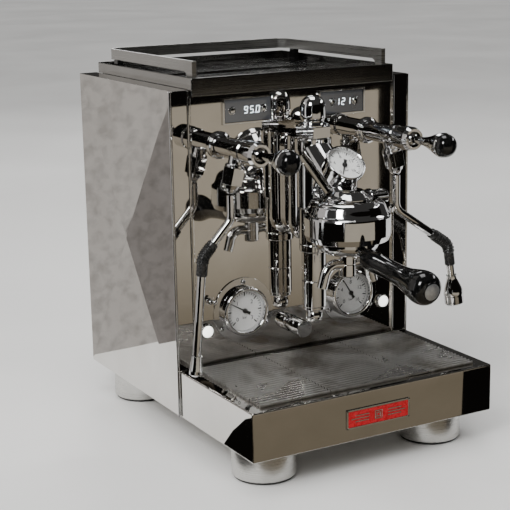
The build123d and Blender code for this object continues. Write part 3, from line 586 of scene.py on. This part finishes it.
def bent_path(start, corner, stop, radius, run=10, turns=14):
    """Points along two straight runs, in run steps each, joined by a tangent arc in turns steps."""
    into, out = (corner - start).normalized(), (stop - corner).normalized()
    half_turn = into.angle(out) / 2
    reach = radius * tan(half_turn)
    first, last = corner - into * reach, corner + out * reach
    centre = corner + (out - into).normalized() * (radius / cos(half_turn))
    spoke, swing = first - centre, into.cross(out).normalized()
    arc = [centre + Matrix.Rotation(2 * half_turn * n / turns, 3, swing) @ spoke for n in range(turns + 1)]
    lead = [start.lerp(first, n / run) for n in range(run)]
    tail = [last.lerp(stop, (n + 1) / run) for n in range(run)]
    return lead + arc + tail


def grip(name, body, node, start, corner, stop, ribbed, ribs):
    """A rubber sleeve with raised rings over the ribbed share of its length."""
    path = bent_path(start, corner, stop, BEND)
    lengths = [0.0]
    for here, there in zip(path, path[1:]):
        lengths.append(lengths[-1] + (there - here).length)
    total = lengths[-1]
    mesh = bmesh.new()
    steps, around = 220, 40
    rings = []
    index = 0
    for n in range(steps + 1):
        along = total * n / steps
        while index < len(path) - 2 and lengths[index + 1] < along:
            index += 1
        share = (along - lengths[index]) / (lengths[index + 1] - lengths[index])
        spot = path[index].lerp(path[index + 1], share)
        ahead = (path[min(index + 1, len(path) - 1)] - path[index]).normalized()
        place = axes(spot, ahead, (0, 1, 0))
        t = n / steps
        radius = SLEEVE
        if ribbed[0] < t < ribbed[1]:
            wave = 2 * pi * ribs * (t - ribbed[0]) / (ribbed[1] - ribbed[0])
            radius += RIB * (0.5 - 0.5 * cos(wave))
        edge = min(t, 1 - t) * total
        if edge < ROUNDED:
            radius -= ROUNDED_BY * (1 - edge / ROUNDED) ** 2
        rings.append([mesh.verts.new(place @ Vector((radius * cos(2 * pi * k / around),
                                                     radius * sin(2 * pi * k / around), 0)))
                      for k in range(around)])
    for first, second in zip(rings, rings[1:]):
        for k in range(around):
            after = (k + 1) % around
            mesh.faces.new((first[k], first[after], second[after], second[k]))
    for ring, order in ((rings[0], -1), (rings[-1], 1)):
        mesh.faces.new(ring[::order])
    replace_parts(piece(name, mesh, RUBBER, body), node)


def grips():
    """Each sleeve runs over its wand's bend, between a share of the run above and one of the run below."""
    ball_x = COUPLING_X + BALL_DROP * sin(COUPLING_LEAN)
    top, corner, foot = at(-ball_x, COUPLING_Y, 262), at(-140, COUPLING_Y, 225), at(-151.5, COUPLING_Y, 104)
    grip("steam_grip_ribbed", "steam_wand", "steam_grip", top.lerp(corner, 0.62), corner,
         corner.lerp(foot, 0.16), ribbed=(0.12, 0.66), ribs=9)
    top, corner, foot = at(ball_x, COUPLING_Y, 249), at(179, COUPLING_Y, 199), at(188, COUPLING_Y, 140)
    grip("water_grip_ribbed", "water_wand", "water_grip", top.lerp(corner, 0.66), corner,
         corner.lerp(foot, 0.42), ribbed=(0.10, 0.72), ribs=10)


grips()

# ---- Portafilter handle's end disc ----


def handle_disc():
    """A domed satin disc let into the end of the portafilter's handle."""
    start, stop = at(0, -141.5, 225.6), at(0, -234, 216)
    along = (stop - start).normalized()
    reach = 108.8 * MM  # from the start of the handle's axis to its end
    mesh = bmesh.new()
    add_turned(mesh, axes(start + along * reach, along),
               [(0, 0), (0.0094, 0), (0.0097, 0.0010), (0.0092, 0.0022), (0.0075, 0.0032),
                (0.0045, 0.0040), (0, 0.0044)], 64)
    piece("handle_end_disc", mesh, SATIN, "portafilter")


handle_disc()

# ---- Feet ----


def foot_pads():
    """A rubber ring under each foot."""
    low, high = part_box("feet")
    foot = 34.4 * MM  # radius
    for x_name, x in (("left", low.x + foot), ("right", high.x - foot)):
        for y_name, y in (("front", low.y + foot), ("back", high.y - foot)):
            mesh = bmesh.new()
            add_turned(mesh, axes((x, y, 0), (0, 0, 1)),
                       [(0.0296, 0.0002), (0.0318, 0.0002), (0.0326, 0.0012), (0.0326, 0.0030),
                        (0.0296, 0.0030)], segments=72)
            piece(f"{y_name}_{x_name}_foot_pad", mesh, RUBBER)


foot_pads()

# ---- Screws of the rear panel ----


def panel_screws():
    """Cross-headed screws along the rear panel's edges. Their crosses are black bars: painted shade of the
    recessed slots.
    """
    low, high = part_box("rear_panel")
    middle_z = (low.z + high.z) / 2
    side_margin, end_margin = 10 * MM, 12 * MM
    heads, slots = bmesh.new(), bmesh.new()
    for x in (low.x + side_margin, CENTRE, high.x - side_margin):
        for z in (low.z + end_margin, middle_z, high.z - end_margin):
            if x == CENTRE and z == middle_z:
                continue
            place = axes((x, high.y, z), (0, 1, 0))
            add_turned(heads, place, [(0.0036, -0.0002), (0.0036, 0.0004), (0.0030, 0.0013),
                                      (0.0016, 0.0019), (0, 0.0021)], 32)
            for turn_by in (0, 90):
                add_box(slots, place @ Matrix.Rotation(radians(turn_by), 4, "Z"),
                        (0.0034, 0.0006, 0.0008), (0, 0, 0.0019))
    piece("rear_screws", heads, CHROME)
    piece("rear_screw_crosses", slots, INK_AND_PAINTED_SHADE, smooth=False)


panel_screws()

# ---- Rolled edges of the sheet metal ----


def rolled_edges():
    """Round beads down the front edges of the side panels and of the front panel."""
    for side_name, side in SIDES:
        low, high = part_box(side_name + "_side_panel")
        outer = low.x if side < 0 else high.x
        inner = panel_low.x if side < 0 else panel_high.x
        inset, bottom = 1.0 * MM, 0.3 * MM
        mesh = bmesh.new()
        for x, y, foot, radius in ((outer - side * inset, low.y + inset, low.z, 1.25 * MM),
                                   (inner, panel_high.y - 1.4 * MM, panel_low.z, 1.3 * MM)):
            top = high.z - foot - 2 * bottom
            add_turned(mesh, axes((x, y, foot), (0, 0, 1)),
                       [(0, bottom), (radius, bottom), (radius, top), (0, top)], segments=24)
        piece(side_name + "_rolled_edges", mesh, CHROME)


rolled_edges()

# ---- Stage ----


def camera():
    """The camera's place and turn: azimuth and elevation about the machine, and a slight roll."""
    azimuth, elevation, roll = radians(-29.20), radians(13.31), radians(-1.055)
    place = at(-756, -1257.2, 549)
    back = Vector((sin(azimuth) * cos(elevation), -cos(azimuth) * cos(elevation), sin(elevation)))
    level = Vector((cos(azimuth), sin(azimuth), 0))
    plumb = back.cross(level)
    right = level * cos(roll) + plumb * sin(roll)
    above = plumb * cos(roll) - level * sin(roll)
    data = bpy.data.cameras.new("camera")
    data.lens = 94.66
    data.sensor_width = 36
    data.clip_end = 60
    made = bpy.data.objects.new("camera", data)
    made.matrix_world = Matrix.Translation(place) @ Matrix((right, above, back)).transposed().to_4x4()
    bpy.context.scene.collection.objects.link(made)
    bpy.context.scene.camera = made


def floor():
    """A plain pale floor."""
    mesh = bmesh.new()
    bmesh.ops.create_grid(mesh, x_segments=1, y_segments=1, size=30)
    data = bpy.data.meshes.new("floor")
    mesh.to_mesh(data)
    mesh.free()
    shader = Shader("floor_finish", Specular_IOR_Level=0.3)
    cloud = shader.noise(1.5, detail=6, distortion=0.5)
    shader.colours(cloud, (0.74, 0.735, 0.72), (0.80, 0.795, 0.78))
    shader.rough(cloud, 0.4, 0.5)
    data.materials.append(shader.material)
    made = bpy.data.objects.new("floor", data)
    bpy.context.scene.collection.objects.link(made)


def softbox(name, spot, target, size, power, colour=(1, 1, 1)):
    """A rectangular light aimed at a point."""
    data = bpy.data.lights.new(name, "AREA")
    data.shape = "RECTANGLE"
    data.size, data.size_y = size
    data.energy = power
    data.color = colour
    made = bpy.data.objects.new(name, data)
    made.matrix_world = axes(spot, Vector(spot) - Vector(target), (0, 0, 1))
    bpy.context.scene.collection.objects.link(made)


FADE = -0.35, -0.85  # the Y where a board's far colour starts and where it is full


def card(name, corners, colour, far=None, pits=None):
    """A board that only reflections see, such as the dark and tinted boards around a studio table.
    far is its colour towards the far front, and pits the colour of small blotches on it."""
    data = bpy.data.meshes.new(name)
    data.from_pydata([Vector(corner) for corner in corners], [], [tuple(range(len(corners)))])
    board = Shader(name, roughness=1.0, Specular_IOR_Level=0.0, Base_Color=(0, 0, 0, 1),
                   Emission_Color=(*colour, 1), Emission_Strength=1.0)
    if far:
        place = board.node("ShaderNodeSeparateXYZ")
        board.link(board.node("ShaderNodeTexCoord").outputs["Object"], place.inputs[0])
        share = board.spread(place.outputs["Y"], 0, 1, *FADE)
        board.colours(share, colour, far, 0, 1, "Emission Color")
    if pits:
        blotches = board.noise(60, detail=12, distortion=0.3)
        board.colours(blotches, pits, colour, 0.33, 0.56, "Emission Color")
    data.materials.append(board.material)
    made = bpy.data.objects.new(name, data)
    made.visible_camera = False
    made.visible_diffuse = False
    made.visible_shadow = False
    made.visible_transmission = False
    bpy.context.scene.collection.objects.link(made)


def upright(start, stop, low, high):
    """The corners of a standing board over a line on the floor."""
    return [(*start, low), (*stop, low), (*stop, high), (*start, high)]


def lights():
    """A faint even sky, a broad sun that reflections don't see, and five softboxes."""
    world = bpy.data.worlds.new("studio")
    world.use_nodes = True
    background = world.node_tree.nodes["Background"]
    background.inputs["Color"].default_value = (0.82, 0.80, 0.77, 1)
    background.inputs["Strength"].default_value = 0.05
    bpy.context.scene.world = world
    overall = bpy.data.lights.new("overall", "SUN")
    overall.energy = 2.7
    overall.angle = radians(70)
    sun = bpy.data.objects.new("overall", overall)
    sun.matrix_world = axes((0, 0, 3), (-0.45, -0.35, 1), (0, 1, 0))
    sun.visible_glossy = False
    bpy.context.scene.collection.objects.link(sun)
    middle = (CENTRE, 0, 0.2)
    softbox("key", (-1.9, -1.3, 1.9), middle, (1.0, 0.7), 50)
    softbox("side", (-2.2, 0.9, 1.3), middle, (1.0, 0.8), 12, (1, 0.97, 0.93))
    softbox("right", (2.1, -0.3, 1.5), middle, (0.35, 1.3), 9)
    softbox("top", (0.1, 0.3, 2.4), middle, (1.2, 0.9), 14)
    softbox("back", (0.9, 2.2, 1.6), middle, (1.2, 0.8), 14)


def surroundings():
    """What stands around the machine in its reflections: a brown cupboard front before the table, a
    concrete wall behind it on the left, a dark room elsewhere, and a few bright strips."""
    right = [(0.095, -0.17), (0.32, -0.45), (0.668, -0.84), (0.995, -1.32)]
    left = [(-0.914, -1.32), (-0.5, -0.45), (-0.36, -0.17)]
    lift = 0.8 * MM  # above the floor
    counter_back, wall_y = 0.36, 0.37
    far_left, far_front = -3.2, left[0][1]
    dark = (0.004, 0.0035, 0.003)
    brown, near_brown = (0.43, 0.385, 0.31), (0.19, 0.16, 0.115)
    card("table_front", [(x, y, lift) for x, y in left + right], near_brown, far=brown)
    card("dark_right", [(x, y, lift) for x, y in [*right, (2.6, -0.9), (2.6, -0.17)]], dark)
    beside = [(-0.5, counter_back), (far_left, counter_back), (far_left, far_front)]
    card("dark_left", [(x, y, lift) for x, y in left[:2] + beside], dark)
    box = [(-0.2, -0.03), (-0.245, 0.02), (-0.275, 0.045), (-0.5, 0.045), (-0.5, -0.3), (-0.2, -0.3)]
    card("box_left", [(x, y, lift) for x, y in box], dark)
    card("room_front_low", upright(left[0], right[-1], lift, 0.2), brown)
    card("room_front_high", upright(left[0], right[-1], 0.2, 1.0), dark)
    card("room_right", upright(right[-1], (2.6, -0.5), lift, 1.4), dark)
    card("room_left", upright((far_left, counter_back), (far_left, far_front), lift, 0.9), dark)
    card("room_front_left", upright((far_left, far_front), left[0], lift, 0.9), dark)
    card("wall_left", upright((far_left, wall_y), (-0.2, wall_y), lift, 1.5), (0.54, 0.515, 0.49),
         pits=(0.41, 0.39, 0.37))
    shade = [(-0.28, 0.172), (-0.322, lift), (-0.6, lift), (-0.6, 0.42), (-0.408, 0.42)]
    card("wall_shade", [(x, wall_y - 5 * MM, z) for x, z in shade], (0.27, 0.25, 0.24),
         pits=(0.20, 0.185, 0.175))
    # Narrow bright strips, which draw lines along everything round.
    for name, x, y, width, height, glow in (("strip_front", -0.84, -1.03, 0.05, 1.0, 1.6),
                                            ("strip_left", -1.26, 0.1, 0.12, 1.1, 1.2),
                                            ("strip_right", 0.9, 0.35, 0.10, 1.1, 0.9)):
        card(name, upright((x, y - width / 2), (x + width / 3, y + width / 2), lift, height), (glow,) * 3)


camera()
floor()
lights()
surroundings()
